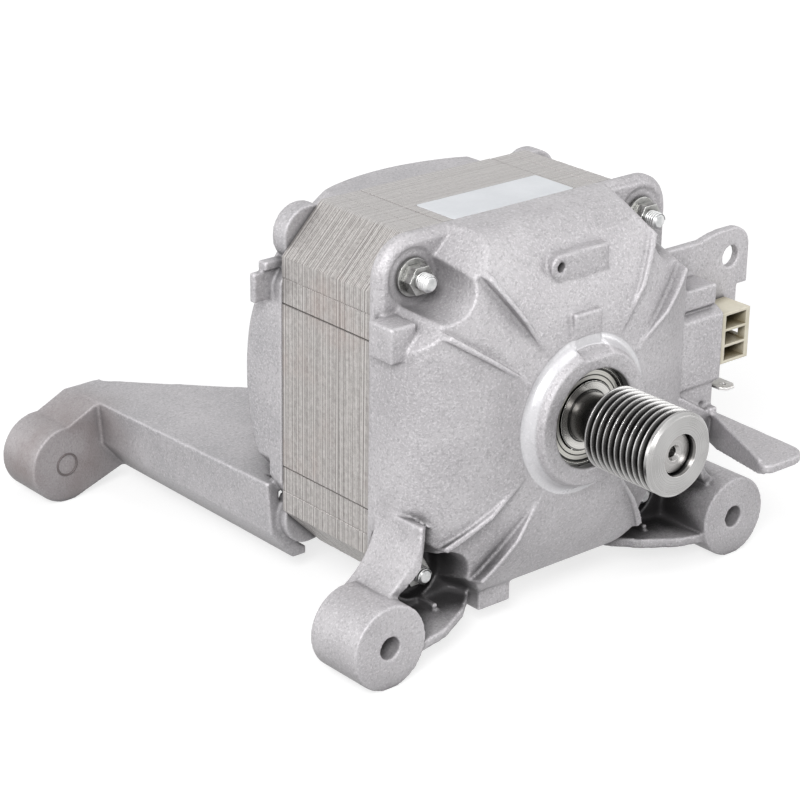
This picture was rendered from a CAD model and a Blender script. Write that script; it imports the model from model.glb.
import math
import random

import bmesh
import bpy
from mathutils import Matrix, Vector


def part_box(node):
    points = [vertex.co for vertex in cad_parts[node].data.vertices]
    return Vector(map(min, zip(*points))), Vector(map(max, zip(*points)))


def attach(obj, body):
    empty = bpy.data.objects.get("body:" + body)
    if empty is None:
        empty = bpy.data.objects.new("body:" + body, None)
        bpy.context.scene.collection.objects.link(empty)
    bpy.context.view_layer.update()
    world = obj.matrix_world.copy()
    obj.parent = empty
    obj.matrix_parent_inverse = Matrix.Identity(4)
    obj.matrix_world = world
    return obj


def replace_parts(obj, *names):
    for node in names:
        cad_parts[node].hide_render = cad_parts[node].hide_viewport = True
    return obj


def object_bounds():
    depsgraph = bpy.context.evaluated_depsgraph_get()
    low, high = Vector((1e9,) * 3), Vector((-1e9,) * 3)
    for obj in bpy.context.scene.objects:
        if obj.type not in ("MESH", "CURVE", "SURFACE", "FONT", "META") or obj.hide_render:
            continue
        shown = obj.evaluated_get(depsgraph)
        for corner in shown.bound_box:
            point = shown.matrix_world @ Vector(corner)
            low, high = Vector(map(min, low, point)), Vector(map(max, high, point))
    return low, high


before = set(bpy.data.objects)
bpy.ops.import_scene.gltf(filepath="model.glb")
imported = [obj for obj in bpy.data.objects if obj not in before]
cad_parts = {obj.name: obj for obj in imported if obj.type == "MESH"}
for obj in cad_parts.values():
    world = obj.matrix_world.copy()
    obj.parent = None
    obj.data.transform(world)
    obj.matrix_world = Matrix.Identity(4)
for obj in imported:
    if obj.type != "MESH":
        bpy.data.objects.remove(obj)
CAD_BOX = [list(map(float, corner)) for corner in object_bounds()]
MM = 0.001
STACK_LOW, STACK_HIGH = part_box("stator_core")
AXIS_H = (STACK_LOW.z + STACK_HIGH.z) / 2
HALF_STACK = (STACK_HIGH.x - STACK_LOW.x) / 2
BEARING_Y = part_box("front_bearing_outer")[0].y
SLEEVE_LOW, SLEEVE_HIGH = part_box("belt_sleeve")
SHEET = 0.6 * MM
BOSS_X = 70.5 * MM
AO_SAMPLES = 8


def scaled(tone, share):
    """A colour made lighter or darker."""
    return tuple(min(1.0, share * v) for v in tone)


# Node helpers
class Paint:
    """One material's node tree, with short calls for the nodes it needs."""

    def __init__(self, name):
        self.material = bpy.data.materials.new(name)
        self.material.use_nodes = True
        self.tree = self.material.node_tree
        self.tree.nodes.clear()
        self.out = self.add("ShaderNodeOutputMaterial")
        self.bsdf = self.add("ShaderNodeBsdfPrincipled")
        self.tree.links.new(self.bsdf.outputs[0], self.out.inputs[0])
        self.place = self.add("ShaderNodeTexCoord").outputs["Object"]

    def add(self, kind, props=None, **ins):
        """A node with its settings; its sockets go by name, or as i0, i1 and so on by number."""
        node = self.tree.nodes.new(kind)
        for key, value in (props or {}).items():
            setattr(node, key, value)
        for key, value in ins.items():
            self.feed(node, int(key[1:]) if key[0] == "i" and key[1:].isdigit() else key, value)
        return node

    def feed(self, node, key, value):
        socket = node.inputs[key]
        if isinstance(value, bpy.types.NodeSocket):
            self.tree.links.new(value, socket)
        else:
            socket.default_value = value

    def math(self, op, a, b=0.0):
        return self.add("ShaderNodeMath", {"operation": op}, i0=a, i1=b).outputs[0]

    def product(self, first, *others):
        for other in others:
            first = self.math("MULTIPLY", first, other)
        return first

    def noise(self, scale, detail=2.0, rough=0.5, at=None, dims="3D"):
        node = self.add("ShaderNodeTexNoise", {"noise_dimensions": dims},
                        Scale=scale, Detail=detail, Roughness=rough)
        self.feed(node, "W" if dims == "1D" else "Vector", at or self.place)
        return node.outputs[0]

    def ramp(self, value, low, high, out_low=0.0, out_high=1.0):
        """Smooth step from out_low at low to out_high at high."""
        node = self.add("ShaderNodeMapRange", {"interpolation_type": "SMOOTHSTEP", "clamp": True})
        for key, v in enumerate((value, low, high, out_low, out_high)):
            self.feed(node, key, v)
        return node.outputs[0]

    def blend(self, factor, a, b):
        node = self.add("ShaderNodeMix", {"data_type": "RGBA"})
        self.feed(node, 0, factor)
        self.feed(node, 6, a if isinstance(a, bpy.types.NodeSocket) else (*a, 1.0))
        self.feed(node, 7, b if isinstance(b, bpy.types.NodeSocket) else (*b, 1.0))
        return node.outputs[2]

    def axes(self):
        node = self.add("ShaderNodeSeparateXYZ", Vector=self.place)
        return node.outputs[0], node.outputs[1], node.outputs[2]

    def radius(self):
        """Distance from the shaft axis."""
        x, _, z = self.axes()
        up = self.math("SUBTRACT", z, AXIS_H)
        return self.math("SQRT", self.math("ADD", self.product(x, x), self.product(up, up)))

    def away_from(self, centre):
        """Distance from a point of the frame."""
        node = self.add("ShaderNodeVectorMath", {"operation": "DISTANCE"}, i0=self.place, i1=centre)
        return node.outputs["Value"]

    def band(self, value, low, high, soft):
        """1 between low and high, 0 outside."""
        above = self.ramp(value, low - soft, low + soft)
        below = self.ramp(value, high + soft, high - soft)
        return self.product(above, below)

    def rounded(self, size):
        """A normal that rounds the edges."""
        return self.add("ShaderNodeBevel", {"samples": 6}, Radius=size).outputs[0]

    def openness(self, size, **settings):
        """Share of the space within size of a point that is free."""
        node = self.add("ShaderNodeAmbientOcclusion", {"samples": AO_SAMPLES, **settings}, Distance=size)
        return node.outputs["AO"]

    def recess(self, size, deep=0.35, shallow=0.92):
        """1 in the recesses, 0 in the open."""
        return self.ramp(self.openness(size), deep, shallow, 1.0, 0.0)

    def crest(self, size, sharp=0.55, flat=0.92):
        """1 along the outer edges, 0 on the faces."""
        return self.ramp(self.openness(size, inside=True, only_local=True), sharp, flat, 1.0, 0.0)

    def bump(self, height, strength, distance, normal=None):
        node = self.add("ShaderNodeBump", Height=height, Strength=strength, Distance=distance)
        if normal is not None:
            self.feed(node, "Normal", normal)
        return node.outputs[0]

    def finish(self, **ins):
        """The material, with the shader's sockets set or linked by name."""
        for key, value in ins.items():
            if isinstance(value, tuple) and len(value) == 3:
                value = (*value, 1.0)
            self.feed(self.bsdf, key.replace("_", " "), value)
        return self.material


# Materials
MOUTH_R = 17.5 * MM
MOUTH_EDGE = 0.3 * MM
FACE_RING = (21.4 * MM, 24.6 * MM)


def cast(name, pale, dark, tinge=(), pits=(), nose=False):
    """Blasted die casting: sandy grain, dirt in the recesses, rubbed edges."""
    p = Paint(name)
    grain = p.noise(1500, 2, 0.6)
    speck = p.noise(950, 3, 0.7)
    cloud = p.noise(42, 4, 0.6)
    colour = p.blend(p.ramp(cloud, 0.32, 0.70), dark, pale)
    colour = p.blend(p.ramp(speck, 0.36, 0.50, 0.42, 0.0), colour, scaled(dark, 0.60))
    colour = p.blend(p.ramp(grain, 0.50, 0.68, 0.0, 0.50), colour, scaled(pale, 1.35))
    for centre, size, tone, share in tinge:
        patchy = p.ramp(p.noise(60, 3), 0.3, 0.7, 0.5, 1.0)
        near = p.product(p.ramp(p.away_from(centre), size, size * 0.35), patchy, share)
        colour = p.blend(near, colour, tone)
    hollow = p.recess(0.016)
    colour = p.blend(p.product(hollow, 0.55), colour, scaled(dark, 0.40))
    for centre, size in pits:
        near = p.product(p.ramp(hollow, 0.02, 0.35), p.ramp(p.away_from(centre), size, size * 0.6), 0.95)
        colour = p.blend(near, colour, scaled(dark, 0.07))
    colour = p.blend(p.product(p.recess(0.003, 0.45, 0.98), 0.7), colour, scaled(dark, 0.30))
    colour = p.blend(p.product(p.recess(0.0014, 0.5, 0.93), 0.6), colour, scaled(dark, 0.20))
    colour = p.blend(p.product(p.crest(0.0010), 0.6), colour, scaled(pale, 1.6))
    rough = p.ramp(cloud, 0.3, 0.7, 0.46, 0.58)
    height = p.math("ADD", p.product(grain, 0.8), p.product(speck, 0.7))
    if nose:
        r, (_, y, _) = p.radius(), p.axes()
        within = p.ramp(r, MOUTH_R + MOUTH_EDGE, MOUTH_R - MOUTH_EDGE)
        mouth = p.product(within, p.ramp(y, BEARING_Y - 3.0 * MM, BEARING_Y - 2.2 * MM), 0.85)
        colour = p.blend(mouth, colour, (0.03, 0.03, 0.032))
        ring = p.product(p.band(r, *FACE_RING, 0.3 * MM), p.ramp(y, 0.4 * MM, -0.4 * MM))
        colour = p.blend(p.product(ring, 0.5), colour, (0.80, 0.80, 0.82))
        rough = p.math("SUBTRACT", rough, p.product(ring, 0.2))
        height = p.product(height, p.math("SUBTRACT", 1.0, p.product(ring, 0.8)))
    normal = p.bump(height, 0.55, 0.0004, p.rounded(0.0008))
    return p.finish(Base_Color=colour, Metallic=0.3, Roughness=rough, Normal=normal)


def laminations(name):
    """Edges of the stacked sheets: each lighter or darker, brown tints on the flanks, a calmer top."""
    p = Paint(name)
    x, y, z = p.axes()
    sheet = p.noise(1 / SHEET, 1.0, 0.5, at=y, dims="1D")
    along = p.noise(900, 2, 0.6)
    share = p.math("ADD", p.product(sheet, 0.8), p.product(along, 0.3))
    colour = p.blend(p.ramp(share, 0.42, 0.68), (0.31, 0.29, 0.28), (0.62, 0.595, 0.58))
    top = p.ramp(z, AXIS_H + HALF_STACK - 0.8 * MM, AXIS_H + HALF_STACK - 0.4 * MM)
    colour = p.blend(p.product(top, 0.6), colour, (0.51, 0.495, 0.49))
    flank = p.ramp(p.math("ABSOLUTE", x), HALF_STACK - 2.0 * MM, HALF_STACK - 0.5 * MM)
    tint = p.product(p.ramp(p.noise(34, 4, 0.62), 0.50, 0.70), flank, 0.30)
    colour = p.blend(tint, colour, (0.46, 0.34, 0.30))
    colour = p.blend(p.product(p.recess(0.0012, 0.30, 0.90), 0.85), colour, (0.10, 0.09, 0.085))
    colour = p.blend(p.product(p.recess(0.012), 0.4), colour, (0.16, 0.15, 0.145))
    normal = p.bump(along, 0.25, 0.00015)
    return p.finish(Base_Color=colour, Metallic=0.35, Roughness=0.42, Normal=normal)


def turned(name, base, dark, rough=0.26, period=0.00022, groove=None, rings=(), neck=None):
    """Steel turned on a lathe: fine rings round the axis, dark grooves, black gaps."""
    p = Paint(name)
    _, y, _ = p.axes()
    r = p.radius()
    lathe = p.noise(1 / period, 2.0, 0.6, at=p.math("ADD", y, r), dims="1D")
    smear = p.noise(60, 3, 0.6)
    mixed = p.math("ADD", p.product(lathe, 0.7), p.product(smear, 0.4))
    colour = p.blend(p.ramp(mixed, 0.35, 0.75), dark, base)
    if groove:
        behind = p.ramp(y, SLEEVE_LOW.y + 0.8 * MM, SLEEVE_LOW.y + 1.4 * MM)
        deep = p.product(p.ramp(r, groove[1], groove[0]), behind, 0.92)
        colour = p.blend(deep, colour, scaled(dark, 0.14))
    if neck:
        colour = p.blend(p.product(p.ramp(y, neck[0], neck[1]), 0.9), colour, scaled(dark, 0.20))
    for low, high in rings:
        gap = p.product(p.band(r, low, high, 0.08 * MM), 0.95)
        colour = p.blend(gap, colour, (0.012, 0.012, 0.013))
    colour = p.blend(p.product(p.recess(0.0022), 0.6), colour, scaled(dark, 0.12))
    colour = p.blend(p.product(p.crest(0.0003), 0.6), colour, scaled(base, 1.4))
    normal = p.bump(lathe, 0.25, 0.00005, p.rounded(0.0002))
    rough = p.ramp(smear, 0.3, 0.7, rough - 0.04, rough + 0.08)
    return p.finish(Base_Color=colour, Metallic=1.0, Roughness=rough, Normal=normal)


def plated(name, base, dark, rough=0.28, metallic=0.9):
    """Zinc or tin plate: bright, with faint clouding."""
    p = Paint(name)
    cloud = p.noise(350, 3, 0.6)
    colour = p.blend(p.ramp(cloud, 0.35, 0.65), dark, base)
    colour = p.blend(p.product(p.recess(0.0025), 0.7), colour, scaled(dark, 0.18))
    colour = p.blend(p.product(p.crest(0.0004), 0.6), colour, scaled(base, 1.3))
    normal = p.bump(p.noise(1800, 2), 0.15, 0.0001, p.rounded(0.0003))
    rough = p.ramp(cloud, 0.3, 0.7, rough, rough + 0.12)
    return p.finish(Base_Color=colour, Metallic=metallic, Roughness=rough, Normal=normal)


def moulded(name, base, dark, deep, rough=0.42):
    """Moulded plastic with a fine eroded grain, yellowed and dark inside its sockets."""
    p = Paint(name)
    cloud = p.noise(180, 3, 0.6)
    colour = p.blend(p.ramp(cloud, 0.3, 0.7), dark, base)
    colour = p.blend(p.product(p.recess(0.006, 0.25, 0.95), 0.95), colour, deep)
    colour = p.blend(p.product(p.crest(0.0004), 0.5), colour, scaled(base, 1.2))
    normal = p.bump(p.noise(2600, 2), 0.2, 0.00006, p.rounded(0.0003))
    rough = p.ramp(cloud, 0.3, 0.7, rough, rough + 0.1)
    return p.finish(Base_Color=colour, Roughness=rough, Normal=normal)


def wound(name):
    """Enamelled wire: parallel strands with a varnish gloss."""
    p = Paint(name)
    centred = p.add("ShaderNodeMapping", Vector=p.place, Location=(0, 0, -AXIS_H)).outputs[0]
    strand = p.add("ShaderNodeTexWave", {"wave_type": "RINGS", "rings_direction": "Y"}, Vector=centred,
                   Scale=260.0, Distortion=2.5, Detail=2.0).outputs[0]
    colour = p.blend(strand, (0.24, 0.09, 0.04), (0.62, 0.30, 0.14))
    return p.finish(Base_Color=colour, Metallic=0.5, Roughness=0.32, Normal=p.bump(strand, 0.5, 0.0003))


def paper(name):
    """Coated label paper."""
    p = Paint(name)
    fibre = p.noise(900, 3, 0.6)
    cloud = p.noise(70, 3, 0.6)
    colour = p.blend(p.ramp(cloud, 0.3, 0.7), (0.66, 0.68, 0.71), (0.72, 0.74, 0.77))
    rough = p.ramp(fibre, 0.3, 0.7, 0.32, 0.44)
    return p.finish(Base_Color=colour, Roughness=rough, Normal=p.bump(fibre, 0.12, 0.00005))


BROWN = (0.22, 0.18, 0.175)
BEARING_GAPS = ((0.0073, 0.0081), (0.0102, 0.0109), (0.0120, 0.0124), (0.0136, 0.0148))
FRONT_CAST = cast("cast_front", (0.53, 0.515, 0.53), (0.43, 0.415, 0.43), nose=True,
                  pits=[((side * 0.044, 0.018, 0.013), 0.030) for side in (-1, 1)])
REAR_CAST = cast("cast_rear", (0.51, 0.495, 0.51), (0.41, 0.40, 0.415),
                 tinge=[((side * BOSS_X, 0.168, 0.0), 0.034, BROWN, 0.85) for side in (-1, 1)])
STACK = laminations("stack_edges")
SLEEVE = turned("turned_sleeve", (0.51, 0.505, 0.50), (0.33, 0.325, 0.32), groove=(0.0110, 0.0124))
SHAFT = turned("ground_shaft", (0.50, 0.49, 0.48), (0.30, 0.29, 0.285), rough=0.22,
               neck=(SLEEVE_HIGH.y, SLEEVE_HIGH.y + 0.0060))
RACE = turned("bearing_race", (0.70, 0.69, 0.66), (0.52, 0.51, 0.49), rough=0.2, period=0.00015,
              rings=BEARING_GAPS)
SIDE_PLATE = turned("bearing_side_plate", (0.60, 0.59, 0.55), (0.46, 0.45, 0.42), rough=0.28, period=0.0003,
                    rings=BEARING_GAPS)
ZINC = plated("zinc_plate", (0.68, 0.68, 0.68), (0.48, 0.49, 0.49))
NUT_ZINC = plated("nut_zinc", (0.42, 0.42, 0.41), (0.26, 0.26, 0.25), rough=0.24)
TIN = plated("tin_plate", (0.66, 0.58, 0.44), (0.46, 0.38, 0.26), rough=0.34)
EARTH_TIN = plated("earth_tin", (0.70, 0.69, 0.68), (0.52, 0.51, 0.50), rough=0.32)
IVORY = moulded("ivory_housing", (0.70, 0.66, 0.55), (0.61, 0.57, 0.45), (0.13, 0.10, 0.045))
SLEEVING = moulded("lead_sleeving", (0.10, 0.10, 0.11), (0.06, 0.06, 0.065), (0.02, 0.02, 0.02), rough=0.5)
CAGE_POLYMER = moulded("cage_polymer", (0.20, 0.14, 0.08), (0.14, 0.09, 0.05), (0.03, 0.02, 0.01),
                       rough=0.4)
LABEL_PAPER = paper("label_paper")
WIRE = wound("enamelled_wire")
CAGE_CAST = cast("cast_cage", (0.62, 0.62, 0.63), (0.50, 0.50, 0.51))

FINISH = {
    "front_shield": FRONT_CAST, "rear_shield": REAR_CAST, "stator_core": STACK, "stator_winding": WIRE,
    "through_bolts": ZINC, "flange_nuts": NUT_ZINC, "preload_washer": SHAFT,
    "connector_housing": IVORY, "connector_terminals": TIN, "phase_leads": SLEEVING,
    "earth_tab": EARTH_TIN, "earth_rivet": ZINC,
    "rotor_shaft": SHAFT, "rotor_core": STACK, "rotor_cage": CAGE_CAST, "belt_sleeve": SLEEVE,
}
for end in ("front", "rear"):
    for part, finish in (("bearing_outer", RACE), ("bearing_inner", RACE), ("bearing_seals", SIDE_PLATE),
                         ("balls", RACE), ("ball_cage", CAGE_POLYMER)):
        FINISH[end + "_" + part] = finish
for node_name, node_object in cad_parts.items():
    node_object.data.materials.clear()
    node_object.data.materials.append(FINISH[node_name])


# Mesh helpers
def placed(name, mesh, material, body, smooth=False):
    """An object for a mesh that is drawn in the frame."""
    for polygon in mesh.polygons:
        polygon.use_smooth = smooth
    mesh.materials.clear()
    mesh.materials.append(material)
    obj = bpy.data.objects.new(name, mesh)
    bpy.context.scene.collection.objects.link(obj)
    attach(obj, body)
    return obj


def piece(name, verts, faces, material, body, slot, smooth=False):
    """An object built from points and faces."""
    mesh = bpy.data.meshes.new(name)
    mesh.from_pydata(verts, [], faces)
    mesh.validate()
    bm = bmesh.new()
    bm.from_mesh(mesh)
    bmesh.ops.recalc_face_normals(bm, faces=bm.faces)
    bm.to_mesh(mesh)
    bm.free()
    return placed(name, mesh, material, body, smooth)


def swept(sections, closed_path=False):
    """Vertices and faces of a tube through equal closed sections."""
    n = len(sections[0])
    verts = [v for section in sections for v in section]
    faces = []
    count = len(sections)
    for i in range(count if closed_path else count - 1):
        a, b = i * n, ((i + 1) % count) * n
        for k in range(n):
            m = (k + 1) % n
            faces.append((a + k, a + m, b + m, b + k))
    if not closed_path:
        faces += [tuple(range(n - 1, -1, -1)), tuple(range((count - 1) * n, count * n))]
    return verts, faces


def joined(parts):
    """Several meshes as one set of points and faces."""
    verts, faces = [], []
    for v, f in parts:
        base = len(verts)
        verts += v
        faces += [tuple(base + i for i in face) for face in f]
    return verts, faces


def ring_round_y(centre, profile, steps=64):
    """A ring whose profile of (radius, y) points turns round an axis along Y."""
    cx, cz = centre
    turns = [2 * math.pi * i / steps for i in range(steps)]
    return swept([[(cx + r * math.cos(a), y, cz + r * math.sin(a)) for r, y in profile] for a in turns],
                 closed_path=True)


def rounded_plate(low, high, r, bevel, steps=6):
    """A flat plate with round corners and a fine bevel along its top edge."""
    corners = ((high[0] - r, high[1] - r, 0), (low[0] + r, high[1] - r, 90),
               (low[0] + r, low[1] + r, 180), (high[0] - r, low[1] + r, 270))

    def outline(inset, z):
        points = []
        for cx, cy, start in corners:
            for k in range(steps + 1):
                a = math.radians(start + 90 * k / steps)
                points.append((cx + (r - inset) * math.cos(a), cy + (r - inset) * math.sin(a), z))
        return points

    return swept([outline(0, low[2]), outline(0, high[2] - bevel), outline(bevel, high[2])])


# Stack of sheets: the core drawn in a little, in a jacket of separate sheet edges
BEVEL_LEG = 14.5 * MM
FIXING = 30 * MM
FIXING_W = 8 * MM
FIXING_DEEP = 0.12 * MM
SEAM = 0.3 * MM
SEAM_DEEP = 0.55 * MM
JACKET = 1.2 * MM
CORE_INSET = 0.8 * MM
SHEET_GAP = 0.10 * MM
SHEET_GAP_DEEP = 0.16 * MM
SHEET_SPREAD = 0.07 * MM


def sheet_outline():
    """One sheet's outline round the axis, with a shallow fixing strip near both ends of each side."""
    flat = HALF_STACK - BEVEL_LEG
    inner, outer = FIXING - FIXING_W / 2, FIXING + FIXING_W / 2
    half = [(inner - SEAM, 0), (inner, SEAM_DEEP), (inner + SEAM, FIXING_DEEP),
            (outer - SEAM, FIXING_DEEP), (outer, SEAM_DEEP * 0.6), (outer + SEAM, 0), (flat, 0)]
    side = [(-u, d) for u, d in reversed(half)] + half
    points = []
    for quarter in range(4):
        turn = Matrix.Rotation(quarter * math.pi / 2, 2)
        points += [turn @ Vector((HALF_STACK - d, u)) for u, d in side]
    return points


def sheet_jacket():
    """Edges of the sheets, each set in or out a little, round a thin wall."""
    outline = sheet_outline()
    draw = random.Random(7)

    def ring(y, inset):
        k = 1 - inset / HALF_STACK
        return [(k * v.x, y, AXIS_H + k * v.y) for v in outline]

    count = round((STACK_HIGH.y - STACK_LOW.y) / SHEET)
    pitch = (STACK_HIGH.y - STACK_LOW.y) / count
    sections = [ring(STACK_LOW.y, JACKET)]
    for i in range(count):
        y = STACK_LOW.y + i * pitch
        set_in = draw.random() * SHEET_SPREAD
        sections += [ring(y + SHEET_GAP / 2, set_in), ring(y + pitch - SHEET_GAP / 2, set_in)]
        if i < count - 1:
            sections.append(ring(y + pitch, SHEET_GAP_DEEP + draw.random() * SHEET_SPREAD))
    sections.append(ring(STACK_HIGH.y, JACKET))
    return swept(sections, closed_path=True)


def drawn_in_core():
    """The core's own mesh, with its outer faces moved in under the jacket."""
    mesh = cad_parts["stator_core"].data.copy()
    mesh.name = "sheet_stack"
    near = 0.2 * MM
    bevel_sum = 2 * HALF_STACK - BEVEL_LEG
    for vertex in mesh.vertices:
        x, z = vertex.co.x, vertex.co.z - AXIS_H
        if max(abs(x), abs(z)) > HALF_STACK - near or abs(x) + abs(z) > bevel_sum - near:
            k = 1 - CORE_INSET / HALF_STACK
            vertex.co.x, vertex.co.z = k * x, AXIS_H + k * z
    return mesh


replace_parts(placed("sheet_stack", drawn_in_core(), STACK, "housing"), "stator_core")
piece("sheet_edges", *sheet_jacket(), STACK, "housing", "lamination_steel")

# Castings: the shields with the rounded edges and small fillets of a die casting
VOXEL = 0.45 * MM
SMOOTHING = 4
FACE_SHARE = 0.21


def casting(node_name, material):
    """A shield's own mesh in fine faces, with its edges and corners smoothed, under 200 000 faces."""
    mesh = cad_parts[node_name].data.copy()
    obj = placed(node_name + "_casting", mesh, material, "housing")
    for kind, settings in (("REMESH", {"mode": "VOXEL", "voxel_size": VOXEL}),
                           ("SMOOTH", {"factor": 0.5, "iterations": SMOOTHING}),
                           ("DECIMATE", {"ratio": FACE_SHARE})):
        modifier = obj.modifiers.new(kind.lower(), kind)
        for key, value in settings.items():
            setattr(modifier, key, value)
    mesh = bpy.data.meshes.new_from_object(obj.evaluated_get(bpy.context.evaluated_depsgraph_get()))
    obj.modifiers.clear()
    obj.data = mesh
    for polygon in mesh.polygons:
        polygon.use_smooth = True
    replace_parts(obj, node_name)


casting("front_shield", FRONT_CAST)
casting("rear_shield", REAR_CAST)

# Bare label on the stack
LABEL_HALF_THICK = 0.12 * MM
LABEL_CORNER = 0.7 * MM
LABEL_BEVEL = 0.04 * MM
label_low = (-22.5 * MM, 31.2 * MM, STACK_HIGH.z - LABEL_HALF_THICK)
label_high = (25.0 * MM, 47.8 * MM, STACK_HIGH.z + LABEL_HALF_THICK)
label_mesh = rounded_plate(label_low, label_high, LABEL_CORNER, LABEL_BEVEL)
piece("bare_label", *label_mesh, LABEL_PAPER, "housing", "ivory_plastic")


# Threads on the bolt tips
def thread(cx, cz, y0, y1, root, crest, pitch, steps=20):
    """A ridge that winds round a bolt and fades out at both ends."""
    sections = []
    count = int((y1 - y0) / pitch * steps)
    for i in range(count + 1):
        a = 2 * math.pi * i / steps
        y = y0 + pitch * i / steps
        fade = min(1.0, i / steps * 2, (count - i) / steps * 2)
        top = root + (crest - root) * max(0.02, fade)
        profile = ((root, -0.42 * pitch), (top, -0.06 * pitch), (top, 0.06 * pitch), (root, 0.42 * pitch))
        sections.append([(cx + r * math.cos(a), y + dy, cz + r * math.sin(a)) for r, dy in profile])
    return swept(sections)


BOLT_AT = 45 * MM
BOLT_R = 2.4 * MM
THREAD_IN = 0.12 * MM
THREAD_OUT = 0.22 * MM
THREAD_PITCH = 0.8 * MM
bolt_low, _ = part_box("through_bolts")
nut_low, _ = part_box("flange_nuts")
thread_start, thread_end = bolt_low.y + 0.4 * MM, nut_low.y + 0.3 * MM
threads = [thread(sx * BOLT_AT, AXIS_H + sz * BOLT_AT, thread_start, thread_end,
                  BOLT_R - THREAD_IN, BOLT_R + THREAD_OUT, THREAD_PITCH)
           for sx in (-1, 1) for sz in (-1, 1)]
piece("bolt_threads", *joined(threads), ZINC, "housing", "zinc_steel")

# Cast rings on the rear bosses
BOSS_FACE_Y = 164 * MM
MARK_OUT = 0.2 * MM
MARK_IN = 0.1 * MM
MARK_CAST = cast("cast_mark", (0.15, 0.13, 0.13), (0.10, 0.085, 0.085))
mark_profile = [(4.0 * MM, BOSS_FACE_Y + MARK_IN), (3.9 * MM, BOSS_FACE_Y - MARK_OUT),
                (3.4 * MM, BOSS_FACE_Y - MARK_OUT), (3.3 * MM, BOSS_FACE_Y + MARK_IN)]
marks = [ring_round_y((sx * BOSS_X, 0.0), mark_profile) for sx in (-1, 1)]
piece("boss_ring_marks", *joined(marks), MARK_CAST, "housing", "cast_aluminium", smooth=True)


# Stage, light and camera
def white_share(tree):
    """1 for camera, mirror and glass rays: these see a plain white studio."""
    path = tree.nodes.new("ShaderNodeLightPath")
    total = path.outputs["Is Camera Ray"]
    for key in ("Is Glossy Ray", "Is Transmission Ray"):
        node = tree.nodes.new("ShaderNodeMath")
        node.operation = "MAXIMUM"
        tree.links.new(total, node.inputs[0])
        tree.links.new(path.outputs[key], node.inputs[1])
        total = node.outputs[0]
    return total


WORLD_ON_OBJECT = 0.24
FLOOR_SIZE = 4.0
FLOOR_GREY = 0.36
GLOW_NEAR = 0.74
GLOW_FROM, GLOW_TO = 0.25, 0.8
# Each lamp's name, place, width and height, and watts
LAMPS = (
    ("key", (-0.84, -0.68, 0.80), (0.5, 0.5), 15.5),
    ("top", (0.10, -0.10, 1.2), (0.7, 0.7), 2.8),
    ("fill", (0.95, -0.85, 0.35), (0.8, 0.6), 4.4),
    ("rear", (-0.80, 0.75, 0.28), (0.6, 0.5), 2.6),
)
LAMP_AIM = (0.0, 0.07, 0.05)


def white_world():
    """A world that is white to look at and lights the object at a plain level."""
    world = bpy.data.worlds.new("studio_world")
    bpy.context.scene.world = world
    world.use_nodes = True
    tree = world.node_tree
    background = tree.nodes["Background"]
    strength = tree.nodes.new("ShaderNodeMapRange")
    tree.links.new(white_share(tree), strength.inputs[0])
    strength.inputs[3].default_value = WORLD_ON_OBJECT
    strength.inputs[4].default_value = 1.0
    tree.links.new(strength.outputs[0], background.inputs[1])
    background.inputs[0].default_value = (1, 1, 1, 1)


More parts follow.
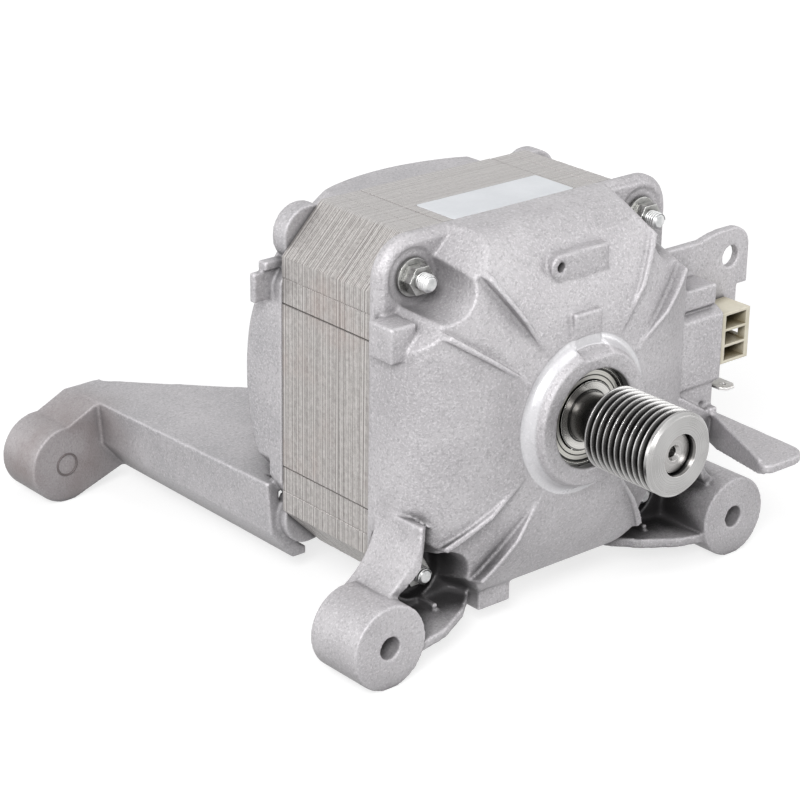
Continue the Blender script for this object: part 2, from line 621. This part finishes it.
def pale_floor():
    """A floor that keeps the object's soft shadow and fades to white further out."""
    bm = bmesh.new()
    bmesh.ops.create_grid(bm, x_segments=12, y_segments=12, size=FLOOR_SIZE)
    mesh = bpy.data.meshes.new("studio_floor")
    bm.to_mesh(mesh)
    bm.free()
    floor = bpy.data.objects.new("studio_floor", mesh)
    floor.location = (0, 0, CAD_BOX[0][2] - 0.0001)
    bpy.context.scene.collection.objects.link(floor)
    p = Paint("pale_floor")
    glow = p.add("ShaderNodeEmission", Color=(1, 1, 1, 1))
    x, y, _ = p.axes()
    away = p.math("SQRT", p.math("ADD", p.product(x, x), p.product(y, y)))
    spread = p.ramp(away, GLOW_FROM, GLOW_TO, GLOW_NEAR, 1.0)
    p.feed(glow, "Strength", p.product(white_share(p.tree), spread))
    both = p.add("ShaderNodeAddShader")
    p.tree.links.new(p.bsdf.outputs[0], both.inputs[0])
    p.tree.links.new(glow.outputs[0], both.inputs[1])
    p.tree.links.new(both.outputs[0], p.out.inputs[0])
    material = p.finish(Base_Color=(FLOOR_GREY,) * 3, Roughness=0.9, Specular_IOR_Level=0.0)
    floor.data.materials.append(material)


def lamp(name, place, size, power):
    """An area lamp that points at the motor."""
    data = bpy.data.lights.new(name, "AREA")
    data.shape = "RECTANGLE"
    data.size, data.size_y = size
    data.energy = power
    obj = bpy.data.objects.new(name, data)
    obj.location = place
    aim = Vector(LAMP_AIM) - Vector(place)
    obj.rotation_euler = aim.to_track_quat("-Z", "Y").to_euler()
    bpy.context.scene.collection.objects.link(obj)


# The camera that the photograph's edges were fitted to, in degrees and millimetres
CAMERA_AZIMUTH = -40.62
CAMERA_ELEVATION = 22.35
CAMERA_ROLL = 0.85
CAMERA_AIM = (0.0, -6.8, 54.0)
CAMERA_RIGHT, CAMERA_UP, CAMERA_BACK = -56.35, 4.59, 732.02
LENS = 114.36
SENSOR = 36.0


def photo_camera():
    """Places the fitted camera: its roll turns the picture about the line of sight."""
    azimuth, elevation, roll = (math.radians(v) for v in (CAMERA_AZIMUTH, CAMERA_ELEVATION, CAMERA_ROLL))
    back = Vector((math.sin(azimuth) * math.cos(elevation), -math.cos(azimuth) * math.cos(elevation),
                   math.sin(elevation)))
    right = Vector((math.cos(azimuth), math.sin(azimuth), 0.0))
    up = back.cross(right)
    across = right * math.cos(roll) + up * math.sin(roll)
    upward = up * math.cos(roll) - right * math.sin(roll)
    shift = right * CAMERA_RIGHT + up * CAMERA_UP + back * CAMERA_BACK
    place = (shift + Vector(CAMERA_AIM)) * MM
    data = bpy.data.cameras.new("photo_camera")
    data.lens = LENS
    data.sensor_width = SENSOR
    data.clip_start = 0.01
    camera = bpy.data.objects.new("photo_camera", data)
    turn = Matrix((across, upward, back)).transposed().to_4x4()
    camera.matrix_world = Matrix.Translation(place) @ turn
    bpy.context.scene.collection.objects.link(camera)
    bpy.context.scene.camera = camera


bpy.context.scene.view_settings.view_transform = "Standard"
white_world()
pale_floor()
for settings in LAMPS:
    lamp(*settings)
photo_camera()
